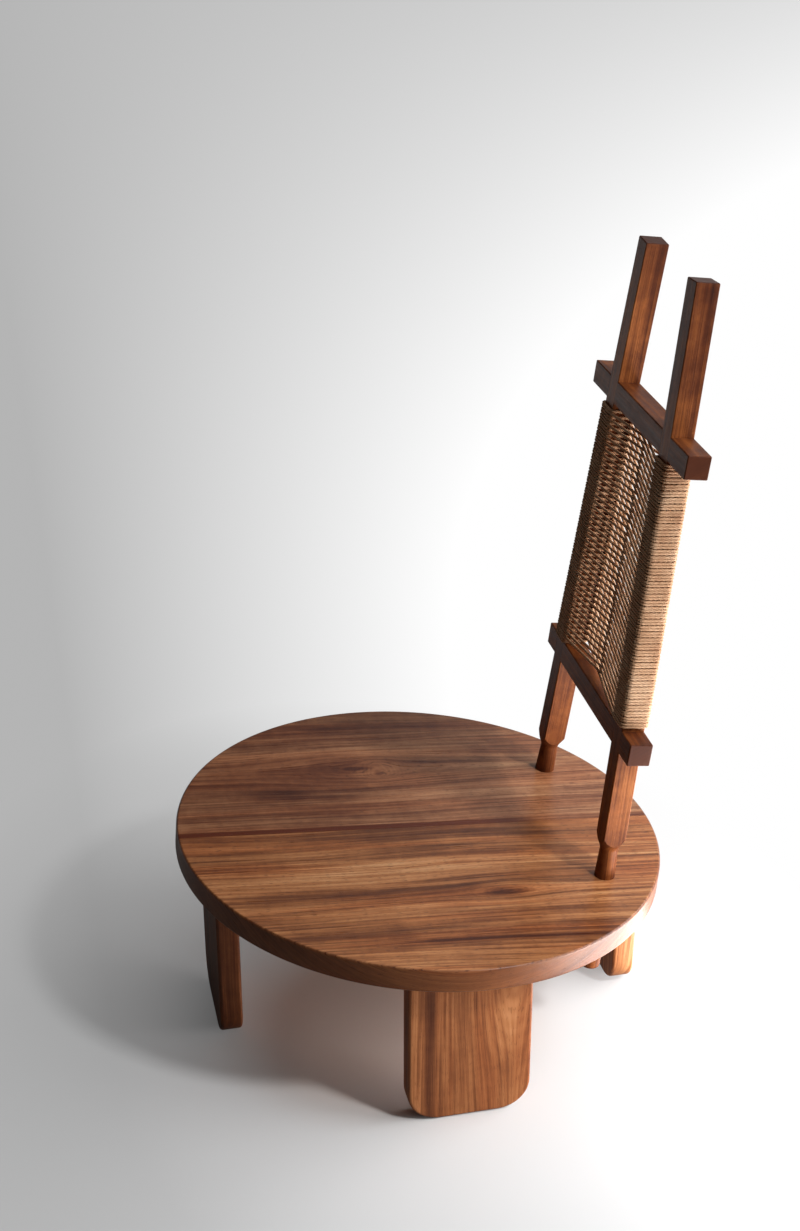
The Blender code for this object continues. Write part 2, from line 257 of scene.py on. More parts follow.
    end_on = facing_along(Vector((0, 1, 0)))
    calmness = end_on
    dark_arris = 0.0
    if calm_sides:
        on_top = facing_along(Vector((0, 0, 1)))
        on_side = maths("SUBTRACT", 1.0, on_top)
        calmness = maths("MAXIMUM", end_on, maths("MULTIPLY", on_side, calm_sides))
        # The eased arris round a rim is darkened: partly its end grain, partly painted shade.
        dark_arris = maths("MULTIPLY", maths("MULTIPLY", on_top, on_side), 1.6)
    calm = maths("MULTIPLY_ADD", maths("SUBTRACT", tone, 0.5), 0.25, 0.30)
    tone = maths("ADD", tone, maths("MULTIPLY", maths("SUBTRACT", calm, tone), calmness))
    colour = ramp(tree, tone, list(zip(TONE_STOPS, tones)))
    if redness:
        rosy = maths("MULTIPLY", step(grain_noise(layers, 38.0, 2.0, 2.0), 0.44, 0.64), redness)
        colour = mix(tree, rosy, colour, ROSY_TINT, "MULTIPLY")

    pores = maths("MULTIPLY", step(pore, 0.57, 0.70), maths("SUBTRACT", 1.0, end_on))
    depth = maths("MULTIPLY_ADD", end_on, 0.35, maths("MULTIPLY", pores, pored))
    depth = maths("ADD", depth, dark_arris)
    finished = mix(tree, depth, colour, (*tones[0], 1))
    if joint:
        width, share, red = joint
        beside = maths("MULTIPLY_ADD", fibre, 0.002, maths("ABSOLUTE", parts.outputs[0]))
        beside = step(beside, width + 0.0022, width - 0.0002)
        fading = maths("MULTIPLY_ADD", step(along, 0.11, 0.17), -0.6 * share, share)
        beside = maths("MULTIPLY", beside, maths("MULTIPLY_ADD", streak, -0.08, fading))
        finished = mix(tree, beside, finished, (*red, 1))

    shader = tree.nodes["Principled BSDF"]
    shader.inputs["Specular IOR Level"].default_value = gloss
    tree.links.new(finished, shader.inputs["Base Color"])
    polish = slide(tree, fibre, 0.3, 0.7, rough, rough + 0.14)
    tree.links.new(polish, shader.inputs["Roughness"])
    relief = maths("MULTIPLY_ADD", pores, -0.7, maths("MULTIPLY", fibre, maths("SUBTRACT", 1.0, end_on)))
    bump = node(tree, "Bump", {"Strength": 0.35, "Distance": 0.0003, "Height": relief})
    tree.links.new(bump, shader.inputs["Normal"])
    return wood


FAR_BOARD_TONES = [(0.065, 0.017, 0.008), (0.165, 0.057, 0.026), (0.280, 0.117, 0.055),
                   (0.405, 0.190, 0.095), (0.555, 0.297, 0.152)]
NEAR_BOARD_TONES = [(0.062, 0.017, 0.008), (0.190, 0.065, 0.024), (0.350, 0.135, 0.050),
                    (0.490, 0.216, 0.088), (0.640, 0.345, 0.162)]
# The last far band and the wide near band from 0.15 along lighten the back of the seat: partly the wood's
# tone, partly painted light where the window's light falls past the back.
FAR_BOARD_BANDS = [(-0.252, 0.004, -0.20, -0.10, 0.12), (-0.270, 0.020, -0.10, -0.30, 0.30),
                   (-0.150, 0.120, -0.12, -0.33, -0.06), (-0.205, 0.014, 0.12, -0.25, -0.05),
                   (-0.190, 0.010, 0.14, -0.28, -0.02), (-0.177, 0.006, 0.16, -0.28, 0.05),
                   (-0.099, 0.013, -0.26, -0.19, -0.12), (-0.085, 0.007, -0.24, -0.18, -0.06),
                   (-0.060, 0.090, 0.10, 0.13, 0.34)]
NEAR_BOARD_BANDS = [(0.018, 0.018, -0.12, -0.30, 0.30), (0.084, 0.004, 0.16, -0.30, 0.30),
                    (0.094, 0.003, 0.14, -0.20, 0.20), (0.142, 0.012, -0.16, -0.22, 0.06),
                    (0.222, 0.014, -0.14, -0.20, -0.05), (0.243, 0.003, -0.34, -0.05, 0.19),
                    (0.152, 0.008, 0.24, 0.10, 0.19), (0.110, 0.120, 0.05, 0.15, 0.34),
                    (0.215, 0.050, -0.07, -0.02, 0.18)]
FAR_BOARD_KNOTS = [(-0.150, -0.057, 0.045, 0.007, 2.2, 5.0), (-0.146, -0.024, 0.014, 0.003, 2.0, 2.5)]
NEAR_BOARD_KNOTS = [(0.152, 0.072, 0.020, 0.014, 2.6, 3.2)]
GLUE_RED = (0.100, 0.017, 0.004)
SEAT_FINISH = {"pored": 0.6, "calm_sides": 0.96, "gloss": 0.30, "rough": 0.26}
far_board = oiled_wood("far_board_wood", seat_frame, (3.1, 0.4, 0.2), FAR_BOARD_TONES,
                       broad=0.72, strips=0.14, streaks=0.20, lines=0.16,
                       bands=FAR_BOARD_BANDS, knots=FAR_BOARD_KNOTS, wander=0.022, mottle=0.32,
                       redness=0.5, joint=(0.0095, 1.0, GLUE_RED), **SEAT_FINISH)
near_board = oiled_wood("near_board_wood", seat_frame, (0.7, 1.9, 0.5), NEAR_BOARD_TONES,
                        broad=0.58, strips=0.18, streaks=0.24, lines=0.18,
                        bands=NEAR_BOARD_BANDS, knots=NEAR_BOARD_KNOTS, wander=0.020, mottle=0.24,
                        redness=0.6, joint=(0.0008, 0.70, GLUE_RED), **SEAT_FINISH)


def seat_half(name, side, wood):
    """Disc with eased arrises, sawn off at the glue line and bored for its post."""
    bpy.ops.object.select_all(action="DESELECT")
    bpy.ops.mesh.primitive_cylinder_add(vertices=180, radius=SEAT_RADIUS, depth=SEAT_THICKNESS,
                                        location=(0, 0, -SEAT_THICKNESS / 2))
    half = bpy.context.object
    bpy.ops.object.transform_apply()
    bpy.ops.object.mode_set(mode="EDIT")
    choose("EDGE", lambda edge: abs(edge.verts[0].co.z - edge.verts[1].co.z) < SAME)
    bpy.ops.mesh.bevel(offset=SEAT_ARRIS, segments=5, affect="EDGES")
    bpy.ops.mesh.select_all(action="SELECT")
    bpy.ops.mesh.bisect(plane_co=(side * FIT / 2, 0, 0), plane_no=(side, 0, 0),
                        use_fill=True, clear_inner=True)
    bpy.ops.object.mode_set(mode="OBJECT")
    place(half, name, seat_frame)
    bore(half, post_frame(side), TENON_RADIUS + FIT, -SEAT_THICKNESS - SPARE, SPARE)
    half.data.materials.append(wood)
    return half


seat_halves = {1: seat_half("seat_half_left", 1, near_board),
               -1: seat_half("seat_half_right", -1, far_board)}
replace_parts(seat_halves[1], "seat_board_left")
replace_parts(seat_halves[-1], "seat_board_right")


# Legs: four upright slabs of the same wood, grain standing, set square to the rim.
# Their lower corners are cut to a big round and every arris is eased; the top is sawn to the
# slope of the seat and glued to it on blind dowels.
LEG_WIDTH = 0.147
LEG_THICKNESS = 0.028
LEG_FROM_MIDDLE = 0.252
LEG_CORNER = 0.038
LEG_ARRIS = 0.004
LEG_BLANK = 0.30  # height of the slab before its top is sawn to the slope
LEG_TONES = [(0.055, 0.014, 0.006), (0.160, 0.050, 0.018), (0.290, 0.102, 0.036),
             (0.400, 0.160, 0.060), (0.540, 0.260, 0.115)]
chair_middle = seat_frame.translation.xy.to_3d()


def slab_leg(name, turn, bands, knots):
    """Slab with round lower corners and eased arrises, sawn off under the seat."""
    spot = Matrix.Translation(chair_middle) @ Matrix.Rotation(math.radians(turn), 4, "Z")
    spot = spot @ Matrix.Translation((0, LEG_FROM_MIDDLE, 0))
    bpy.ops.object.select_all(action="DESELECT")
    bpy.ops.mesh.primitive_cube_add(size=1, location=(0, 0, LEG_BLANK / 2),
                                    scale=(LEG_WIDTH, LEG_THICKNESS, LEG_BLANK))
    leg = bpy.context.object
    bpy.ops.object.transform_apply()
    bpy.ops.object.mode_set(mode="EDIT")
    choose("EDGE", lambda edge: all(v.co.z < SAME for v in edge.verts)
           and abs(edge.verts[0].co.x - edge.verts[1].co.x) < SAME)
    bpy.ops.mesh.bevel(offset=LEG_CORNER, segments=14, affect="EDGES")
    choose("EDGE", lambda edge: abs(edge.verts[0].co.y - edge.verts[1].co.y) < SAME)
    bpy.ops.mesh.bevel(offset=LEG_ARRIS, segments=5, affect="EDGES")
    to_leg = spot.inverted() @ seat_frame
    underside = to_leg @ Vector((0, 0, -SEAT_THICKNESS - FIT))
    bpy.ops.mesh.select_all(action="SELECT")
    bpy.ops.mesh.bisect(plane_co=underside, plane_no=to_leg.to_3x3() @ Vector((0, 0, 1)),
                        use_fill=True, clear_outer=True)
    bpy.ops.object.mode_set(mode="OBJECT")
    place(leg, name, spot)
    upright = spot @ Matrix.Rotation(math.radians(90), 4, "X")
    wood = oiled_wood(name + "_wood", upright, (0.01 * turn, 0.3, 0.02 * turn), LEG_TONES,
                      broad=0.40, strips=0.10, streaks=0.20, lines=0.06, bands=bands, knots=knots,
                      wander=0.030, pored=0.28, mottle=0.18, redness=0.40)
    leg.data.materials.append(wood)
    return leg


LEG_TURNS = {"front": 180, "back": 0, "left": -90, "right": 90}
# The front leg's band darkens it, painted shade under the seat; the back leg's lightens it, painted light
# from the bright floor beside it.
LEG_BANDS = {"front": [(0, 0.20, -0.30, -1, 1)],
             "back": [(0, 0.20, 0.20, -1, 1)],
             "left": [(0.060, 0.012, -0.16, -1, 1), (0.037, 0.004, 0.18, -1, 1),
                      (0.024, 0.008, -0.20, -1, 1), (-0.074, 0.016, 0.18, 0.09, 0.16),
                      (-0.084, 0.010, 0.12, -0.01, 0.05)],
             "right": [(0.02, 0.02, -0.1, -1, 1)]}
LEG_KNOTS = {"front": [],
             "back": [(0.040, -0.02, 0.040, 0.001, 2.0, 3.0)],
             "left": [(-0.080, 0.200, 0.045, 0.001, 3.0, 2.0)],
             "right": [(0.030, 0.230, 0.040, 0.001, 2.6, 2.0)]}
legs = {word: slab_leg("slab_leg_" + word, turn, LEG_BANDS[word], LEG_KNOTS[word])
        for word, turn in LEG_TURNS.items()}
for word, leg in legs.items():
    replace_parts(leg, "leg_" + word)


# Dowels: plain turned pegs of a pale wood, glued in blind holes across the glue line and between
# legs and seat. They are the CAD pegs, and never show; the wood round them is bored for them.
SEAT_PEG_RADIUS = 0.004
SEAT_PEG_REACH = 0.025  # from its middle to its end
LEG_PEG_RADIUS = 0.006
LEG_PEG_REACH = 0.022
PEG_TONES = [(0.30, 0.18, 0.09), (0.42, 0.28, 0.15), (0.52, 0.36, 0.20), (0.60, 0.43, 0.26),
             (0.68, 0.52, 0.34)]


def peg_hole(piece, where, radius, reach):
    """Hole for a peg, a hair larger than it all round."""
    bore(piece, where, radius + FIT, -reach - FIT, reach + FIT)


for number in (1, 2, 3):
    low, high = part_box("seat_dowel_%d" % number)
    along = Matrix.Translation((low + high) / 2) @ Matrix.Rotation(math.radians(90), 4, "Y")
    for half in seat_halves.values():
        peg_hole(half, along, SEAT_PEG_RADIUS, SEAT_PEG_REACH)
for word, leg in legs.items():
    for number in (1, 2):
        low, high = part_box("leg_%s_dowel_%d" % (word, number))
        along = Matrix.Translation((low + high) / 2) @ Matrix.Rotation(-SEAT_SLOPE, 4, "X")
        peg_hole(leg, along, LEG_PEG_RADIUS, LEG_PEG_REACH)
        side = 1 if low.x + high.x > 0 else -1
        peg_hole(seat_halves[side], along, LEG_PEG_RADIUS, LEG_PEG_REACH)

peg_wood = oiled_wood("peg_wood", Matrix.Rotation(math.radians(90), 4, "X"), (0.2, 0.1, 0.0), PEG_TONES,
                      broad=0.8, strips=0.1, streaks=0.1)
for name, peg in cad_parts.items():
    if "dowel" in name:
        peg.data.materials.clear()
        peg.data.materials.append(peg_wood)

for piece in seat_halves.values():
    ease(piece, 25)
    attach(piece, "root")
for piece in legs.values():
    ease(piece, 25)
    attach(piece, "root")


# Back posts: square bars with softened arrises, turned at the foot to a round neck and tenon.
# Each tenon goes through the seat and shows below it; two laps behind take the rails.
POST_SECTION = 0.028
POST_ARRIS = 0.0015
POST_HEIGHT = 0.727
TENON_BELOW = 0.097
TENON_END = 0.006  # round of the tenon's tip
TENON_TOP = 0.002  # the tenon keeps its width this far above the seat
NECK_RADIUS = 0.011
NECK_HEIGHT = 0.036
SHOULDER = 0.024
TURNING_RADIUS = POST_SECTION * math.sqrt(0.5) + 0.0007  # just clears the corners of the square
RAIL_LENGTH = 0.323
RAIL_BOTTOMS = {"lower": 0.170, "upper": 0.526}
LAP_GAP = 0.0002
# Darker and redder than the seat's wood: partly the back's own wood, partly painted shade where less light
# reaches it.
BACK_TONES = [(0.036, 0.009, 0.004), (0.085, 0.021, 0.007), (0.150, 0.042, 0.012),
              (0.240, 0.072, 0.019), (0.360, 0.125, 0.038)]
BACK_FINISH = {"broad": 0.9, "strips": 0.10, "streaks": 0.10, "lines": 0.12, "wander": 0.008,
               "mottle": 0.50, "gloss": 0.10}
# Along each post: lighter near the foot and above the upper rail, darker at the top; partly the wood's own
# tone, partly painted light from the bright floor below and painted shade higher up.
POST_BANDS = {1: [(0, 0.20, 0.17, 0.075, 0.16), (0, 0.20, -0.05, 0.60, 0.80),
                  (0, 0.20, 0.10, 0.50, 0.60)],
              -1: [(0, 0.20, 0.04, -0.20, 0.16), (0, 0.20, 0.14, 0.50, 0.67),
                   (0, 0.20, -0.08, 0.70, 0.80)]}


def bar(size, middle):
    """Square bar with its arrises rounded over."""
    bpy.ops.object.select_all(action="DESELECT")
    bpy.ops.mesh.primitive_cube_add(size=1, location=middle, scale=size)
    piece = bpy.context.object
    bpy.ops.object.transform_apply()
    bpy.ops.object.mode_set(mode="EDIT")
    bpy.ops.mesh.select_all(action="SELECT")
    bpy.ops.mesh.bevel(offset=POST_ARRIS, segments=4, affect="EDGES")
    bpy.ops.object.mode_set(mode="OBJECT")
    return piece


def half_bar(size, middle, keep):
    """Tool for a lap: the crossing bar a hair wider, only its front or its back half."""
    tool = bar([length + LAP_GAP for length in size], middle)
    bpy.ops.object.mode_set(mode="EDIT")
    bpy.ops.mesh.select_all(action="SELECT")
    bpy.ops.mesh.bisect(plane_co=(0, -keep * LAP_GAP / 2, 0), plane_no=(0, keep, 0),
                        use_fill=True, clear_inner=True)
    bpy.ops.object.mode_set(mode="OBJECT")
    return tool


def turned_foot(tip):
    """Solid that a lathe would leave: tenon, neck and shoulder, and wide above."""
    flat = TENON_RADIUS - TENON_END
    outline = [(0, tip), (flat, tip)]
    for i in range(1, 7):
        angle = math.radians(15 * i)
        outline.append((flat + TENON_END * math.sin(angle), tip + TENON_END - TENON_END * math.cos(angle)))
    outline.append((TENON_RADIUS, TENON_TOP))
    for i in range(17):
        share = i / 16
        swell = share ** 2 * (3 - 2 * share)
        radius = NECK_RADIUS + (TURNING_RADIUS - NECK_RADIUS) * swell
        outline.append((radius, NECK_HEIGHT + SHOULDER * share))
    outline += [(TURNING_RADIUS, POST_HEIGHT + SPARE), (0, POST_HEIGHT + SPARE)]
    bpy.ops.object.select_all(action="DESELECT")
    bpy.ops.mesh.primitive_plane_add(size=1)
    turning = bpy.context.object
    bpy.ops.object.mode_set(mode="EDIT")
    mesh = bmesh.from_edit_mesh(turning.data)
    mesh.clear()
    row = [mesh.verts.new((radius, 0, height)) for radius, height in outline]
    for pair in zip(row, row[1:]):
        mesh.edges.new(pair)
    bmesh.update_edit_mesh(turning.data)
    bpy.ops.mesh.select_all(action="SELECT")
    bpy.ops.mesh.spin(steps=64, angle=2 * math.pi, center=(0, 0, 0), axis=(0, 0, 1))
    bpy.ops.mesh.select_all(action="SELECT")
    bpy.ops.mesh.remove_doubles(threshold=SAME)
    bpy.ops.mesh.normals_make_consistent(inside=False)
    bpy.ops.object.mode_set(mode="OBJECT")
    return turning


def back_post(name, side):
    """Square bar turned down at its foot, with a lap behind for each rail."""
    tip = -SEAT_THICKNESS - TENON_BELOW
    post = bar((POST_SECTION, POST_SECTION, POST_HEIGHT - tip + SPARE),
               (0, 0, (POST_HEIGHT + tip - SPARE) / 2))
    join_with(post, turned_foot(tip), "INTERSECT")
    place(post, name, post_frame(side))
    for bottom in RAIL_BOTTOMS.values():
        lap = half_bar((RAIL_LENGTH, POST_SECTION, POST_SECTION), (0, 0, bottom + POST_SECTION / 2), 1)
        place(lap, "lap", back_frame)
        join_with(post, lap, "DIFFERENCE")
    upright = post_frame(side) @ Matrix.Rotation(math.radians(90), 4, "X")
    wood = oiled_wood(name + "_wood", upright, (0.4 + side, 0.2, 0.3 * side), BACK_TONES,
                      bands=POST_BANDS[side], **BACK_FINISH)
    post.data.materials.append(wood)
    ease(post, 20)
    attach(post, "root")
    return post


for word, side in (("left", 1), ("right", -1)):
    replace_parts(back_post("back_post_" + word, side), "post_" + word)


# Rails: two square bars that cross the posts, lapped half into them, so that all faces are flush.
# The posts run through in front; the rails' ends stand out a little beyond the posts.
def back_rail(name, bottom):
    """Square bar with a lap in front for each post."""
    spot = back_frame @ Matrix.Translation((0, 0, bottom))
    rail = bar((RAIL_LENGTH, POST_SECTION, POST_SECTION), (0, 0, POST_SECTION / 2))
    place(rail, name, spot)
    for side in (-1, 1):
        lap = half_bar((POST_SECTION, POST_SECTION, POST_HEIGHT), (0, 0, POST_HEIGHT / 2), -1)
        place(lap, "lap", post_frame(side))
        join_with(rail, lap, "DIFFERENCE")
    lying = spot @ Matrix.Rotation(math.radians(-90), 4, "Z")
    wood = oiled_wood(name + "_wood", lying, (5 * bottom, 0.6, 0.1), BACK_TONES, **BACK_FINISH)
    rail.data.materials.append(wood)
    ease(rail, 20)
    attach(rail, "root")
    return rail


for word, bottom in RAIL_BOTTOMS.items():
    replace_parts(back_rail("back_rail_" + word, bottom), word + "_rail")


# Cord: one length of natural three-ply paper cord, wound in figures of eight round both posts
# between the rails. Each visit takes one full turn more round the post, so the turns lie close
# there, and the strands between the posts leave gaps. Its three plies are laid up to the right.
CORD_RADIUS = 0.0020
PLY_HOLLOW = 0.0017  # radius in the hollow between two plies
PULLED_THIN = 0.03  # share of its thickness that the cord loses between the posts, where it is taut
PLIES = 3
CORD_LAY = 0.018  # length in which a ply goes once round
CORD_STEP = 0.0021  # between rings of the mesh
VISITS = 42  # to each post
TURNS_EACH = 1.5  # turns round the post in one visit
CORD_BEND = 0.005  # radius of the cord's middle line round an arris
CORNER_SHARE = 0.293  # share of its radius by which a round corner lies inside a square one
CORD_OFF_WOOD = 0.0001
CORD_OFF_RAIL = 0.0002
UNEVEN = 0.00008  # how far a turn strays up or down
SLACK = 0.0003  # how far a strand between the posts bows
STRAND_RINGS = 30  # a run with more rings than this is a strand between the posts
chance = random.Random(7)

winding_low = RAIL_BOTTOMS["lower"] + POST_SECTION + CORD_RADIUS + CORD_OFF_RAIL
winding_high = RAIL_BOTTOMS["upper"] - CORD_RADIUS - CORD_OFF_RAIL
pitch = (winding_high - winding_low) / (2 * VISITS + TURNS_EACH - 1)
flank = POST_SECTION / 2 / math.cos(POST_SPLAY)


def corner(across, depth, start):
    """Centres of the cord as it goes round one arris, (outwards, depth)."""
    cut_off = CORNER_SHARE * (CORD_BEND - POST_ARRIS - CORD_RADIUS)
    inset = CORD_BEND - cut_off - CORD_RADIUS - CORD_OFF_WOOD
    middle = (across * (flank - inset), depth * (POST_SECTION / 2 - inset))
    angles = [math.radians(start + 30 * i) for i in range(4)]
    return [(middle[0] + CORD_BEND * math.cos(a), middle[1] + CORD_BEND * math.sin(a)) for a in angles]


front_inner = corner(-1, -1, 180)
front_outer = corner(1, -1, -90)
back_outer = corner(1, 1, 0)
back_inner = corner(-1, 1, 90)
turns = front_inner[2:] + front_outer + back_outer + back_inner
turns += front_inner + front_outer + back_outer + back_inner[:2]
lengths = [0.0]
for before, after in zip(turns, turns[1:]):
    lengths.append(lengths[-1] + math.dist(before, after))


def visit(side, height):
    """One and a half turns round a post, climbing steadily; points in the back's own frame."""
    points = []
    for (outwards, depth), run in zip(turns, lengths):
        level = height + TURNS_EACH * pitch * run / lengths[-1]
        axis = POST_SPREAD / 2 - level * math.tan(POST_SPLAY)
        points.append(Vector((side * (axis + outwards), depth, level + chance.uniform(-UNEVEN, UNEVEN))))
    return points


route = []
for i in range(2 * VISITS):
    route += visit(-1 if i % 2 == 0 else 1, winding_low + pitch * i)
tail = flank + CORD_RADIUS + CORD_OFF_WOOD
route.insert(0, Vector((tail - POST_SPREAD / 2 + winding_low * math.tan(POST_SPLAY), 0, winding_low)))
route.append(Vector((POST_SPREAD / 2 - winding_high * math.tan(POST_SPLAY) - tail, 0, winding_high)))

centres = [route[0]]
thickness = [1.0]
for start, end in zip(route, route[1:]):
    count = max(1, round((end - start).length / CORD_STEP))
    slack = Vector((0, chance.uniform(-SLACK, SLACK), chance.uniform(-SLACK, SLACK)))
    for i in range(1, count + 1):
        bow = 4 * (i / count) * (1 - i / count) if count > STRAND_RINGS else 0
        centres.append(start.lerp(end, i / count) + bow * slack)
        thickness.append(1 - PULLED_THIN * min(1, 2.5 * bow))

bpy.ops.object.select_all(action="DESELECT")
bpy.ops.mesh.primitive_circle_add(vertices=2 * PLIES, radius=CORD_RADIUS)
cord = bpy.context.object
tube = bmesh.new()
uv = tube.loops.layers.uv.new("lay")
rings = []
runs = [0.0]
for i, spot in enumerate(centres):
    ahead = (centres[min(i + 1, len(centres) - 1)] - centres[max(i - 1, 0)]).normalized()
    out = ahead.cross(Vector((0, 0, 1))).normalized()
    up = out.cross(ahead)
    if i:
        runs.append(runs[-1] + (spot - centres[i - 1]).length)
    ring = []
    for j in range(2 * PLIES):
        angle = 2 * math.pi * (j / (2 * PLIES) + runs[-1] / CORD_LAY)
        radius = thickness[i] * (CORD_RADIUS if j % 2 == 0 else PLY_HOLLOW)
        ring.append(tube.verts.new(spot + radius * (math.cos(angle) * out + math.sin(angle) * up)))
    rings.append(ring)
for i in range(len(rings) - 1):
    for j in range(2 * PLIES):
        k = (j + 1) % (2 * PLIES)
        face = tube.faces.new((rings[i][j], rings[i][k], rings[i + 1][k], rings[i + 1][j]))
        face.smooth = True
        corners = ((runs[i], j), (runs[i], j + 1), (runs[i + 1], j + 1), (runs[i + 1], j))
        for loop, (run, step) in zip(face.loops, corners):
            loop[uv].uv = (run, step / (2 * PLIES))
tube.faces.new(rings[0])
tube.faces.new(rings[-1])
bmesh.ops.recalc_face_normals(tube, faces=tube.faces)
tube.to_mesh(cord.data)
tube.free()
place(cord, "cord_winding", back_frame)

paper = bpy.data.materials.new("paper_cord")
paper.use_nodes = True
tree = paper.node_tree
lay_map = node(tree, "UVMap", {}, uv_map="lay")
lay = tree.nodes.new("ShaderNodeSeparateXYZ")
tree.links.new(lay_map, lay.inputs[0])
plies = node(tree, "Math", {0: lay.outputs[1], 1: float(PLIES)}, operation="MULTIPLY")
place_in_ply = node(tree, "Math", {0: plies}, operation="FRACT")
hollow = node(tree, "Math", {0: place_in_ply, 1: 0.5}, operation="SUBTRACT")
hollow = node(tree, "Math", {0: hollow}, operation="ABSOLUTE")
hollow = slide(tree, hollow, 0.30, 0.0, way="SMOOTHSTEP")
twist = node(tree, "VectorMath", {0: lay_map, 1: (420.0, 30.0, 0.0)}, operation="MULTIPLY")
creases = node(tree, "TexNoise", {"Vector": twist, "Scale": 1.0, "Detail": 2.0})
spot = node(tree, "TexCoord", {}, output=3)
fibres = node(tree, "TexNoise", {"Vector": spot, "Scale": 900.0, "Detail": 2.0})
shades = node(tree, "TexNoise", {"Vector": spot, "Scale": 35.0, "Detail": 2.0})
shade = node(tree, "Math", {0: fibres, 1: 0.3, 2: shades}, operation="MULTIPLY_ADD")
shade = node(tree, "Math", {0: creases, 1: 0.3, 2: shade}, operation="MULTIPLY_ADD")
kraft = ramp(tree, shade, [(0.50, (0.38, 0.195, 0.100)), (0.80, (0.55, 0.330, 0.190)),
                           (1.05, (0.66, 0.440, 0.280))])
# Painted shade: the hollows between the plies are darkened and reddened.
hollow_shade = node(tree, "Math", {0: hollow, 1: 0.50}, operation="MULTIPLY")
kraft = mix(tree, hollow_shade, kraft, (0.20, 0.070, 0.028, 1))
shader = tree.nodes["Principled BSDF"]
shader.inputs["Roughness"].default_value = 0.72
shader.inputs["Specular IOR Level"].default_value = 0.25
tree.links.new(kraft, shader.inputs["Base Color"])
relief = node(tree, "Math", {0: creases, 1: fibres}, operation="ADD")
bump = node(tree, "Bump", {"Strength": 0.5, "Distance": 0.0003, "Height": relief})
tree.links.new(bump, shader.inputs["Normal"])
cord.data.materials.append(paper)
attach(cord, "root")
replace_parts(cord, "rope_winding")


# Floor: a wide sweep of pale paper that the chair stands on. It takes the chair's shadow, and
# away from the chair it fades to a glow of the paper that rises behind it: painted window light,
# grey on the side away from the window and white towards it.
SHADOW_MIDDLE = (0.11, -0.08, 0)
SHADOW_STRETCH = (0.75, 1, 1)
PAINTED_SHADE_MIDDLE = (0.05, -0.06, 0)  # middle of the painted shade under the seat, warmed as if by light from the wood
PAINTED_WARM_SHADE = (0.66, 0.56, 0.50, 1)
PLAIN_PAPER = (0.78, 0.785, 0.79, 1)
BOUNCED_PAPER = (0.42, 0.365, 0.32, 1)  # the tone in which the paper throws light back
GREY_SIDE = 0.46
bpy.ops.object.select_all(action="DESELECT")
bpy.ops.mesh.primitive_plane_add(size=40, location=(0, 0, -FIT))
floor = bpy.context.object
floor.name = "paper_floor"
paper_white = bpy.data.materials.new("floor_paper")
paper_white.use_nodes = True
tree = paper_white.node_tree
shader = tree.nodes["Principled BSDF"]
shader.inputs["Roughness"].default_value = 0.9
spot = node(tree, "TexCoord", {}, output=3)
from_shadow = node(tree, "VectorMath", {0: spot, 1: SHADOW_MIDDLE}, operation="SUBTRACT")
from_shadow = node(tree, "VectorMath", {0: from_shadow, 1: SHADOW_STRETCH}, operation="MULTIPLY")
away = node(tree, "VectorMath", {0: from_shadow}, output=1, operation="LENGTH")
share = slide(tree, away, 0.12, 0.66)
# From front to back the glow turns from grey to white towards the window, as painted window light, over a
# span that widens off the chair's middle.
sides = tree.nodes.new("ShaderNodeSeparateXYZ")
tree.links.new(spot, sides.inputs[0])
off_middle = node(tree, "Math", {0: sides.outputs[0], 1: sides.outputs[0]}, operation="MULTIPLY")
span = node(tree, "Math", {0: off_middle, 1: 0.13, 2: 0.55}, operation="MULTIPLY_ADD")
nearer = slide(tree, sides.outputs[0], 0.22, 0.45, 0.40, 0.32)
to_window = node(tree, "Math", {0: sides.outputs[1], 1: nearer}, operation="ADD")
to_window = node(tree, "Math", {0: to_window, 1: span}, operation="DIVIDE")
pale = slide(tree, to_window, 0.0, 1.0, GREY_SIDE, 1.0)
# Painted shade: under the seat the paper the camera sees is darker and warmer, as if lit by light thrown
# back from the wood.
from_painted_shade = node(tree, "VectorMath", {0: spot, 1: PAINTED_SHADE_MIDDLE}, output=1, operation="DISTANCE")
off_painted_shade = slide(tree, from_painted_shade, 0.10, 0.25, way="SMOOTHSTEP")
paper_colour = mix(tree, off_painted_shade, PAINTED_WARM_SHADE, PLAIN_PAPER)
rays = tree.nodes.new("ShaderNodeLightPath")
paper_colour = mix(tree, rays.outputs["Is Camera Ray"], BOUNCED_PAPER, paper_colour)
tree.links.new(paper_colour, shader.inputs["Base Color"])
# Painted reflection: for glossy rays the paper glows brightly only on its sunny side and far off, so the
# polish of the wood mirrors it there.
sunlit = slide(tree, sides.outputs[1], 0.05, 0.45)
beside = slide(tree, sides.outputs[0], 0.55, 0.95, 1.0, 0.0)
far_off = slide(tree, sides.outputs[0], -0.7, -1.5, 0.10, 0.95)
mirrored = node(tree, "Math", {0: sunlit, 1: beside}, operation="MULTIPLY")
mirrored = node(tree, "Math", {0: mirrored, 1: far_off}, operation="MAXIMUM")
glossy = rays.outputs["Is Glossy Ray"]
seen = node(tree, "Math", {0: rays.outputs["Is Camera Ray"], 1: rays.outputs["Is Transmission Ray"]},
            operation="MAXIMUM")
seen = node(tree, "Math", {0: seen, 1: glossy}, operation="MAXIMUM")
share = node(tree, "Math", {0: share, 1: seen}, operation="MULTIPLY")
pale = slide(tree, glossy, 0.0, 1.0, pale, mirrored)
glow = node(tree, "Emission", {"Strength": pale})
surface = node(tree, "MixShader", {0: share, 1: shader.outputs[0], 2: glow})
tree.links.new(surface, tree.nodes["Material Output"].inputs["Surface"])
floor.data.materials.append(paper_white)


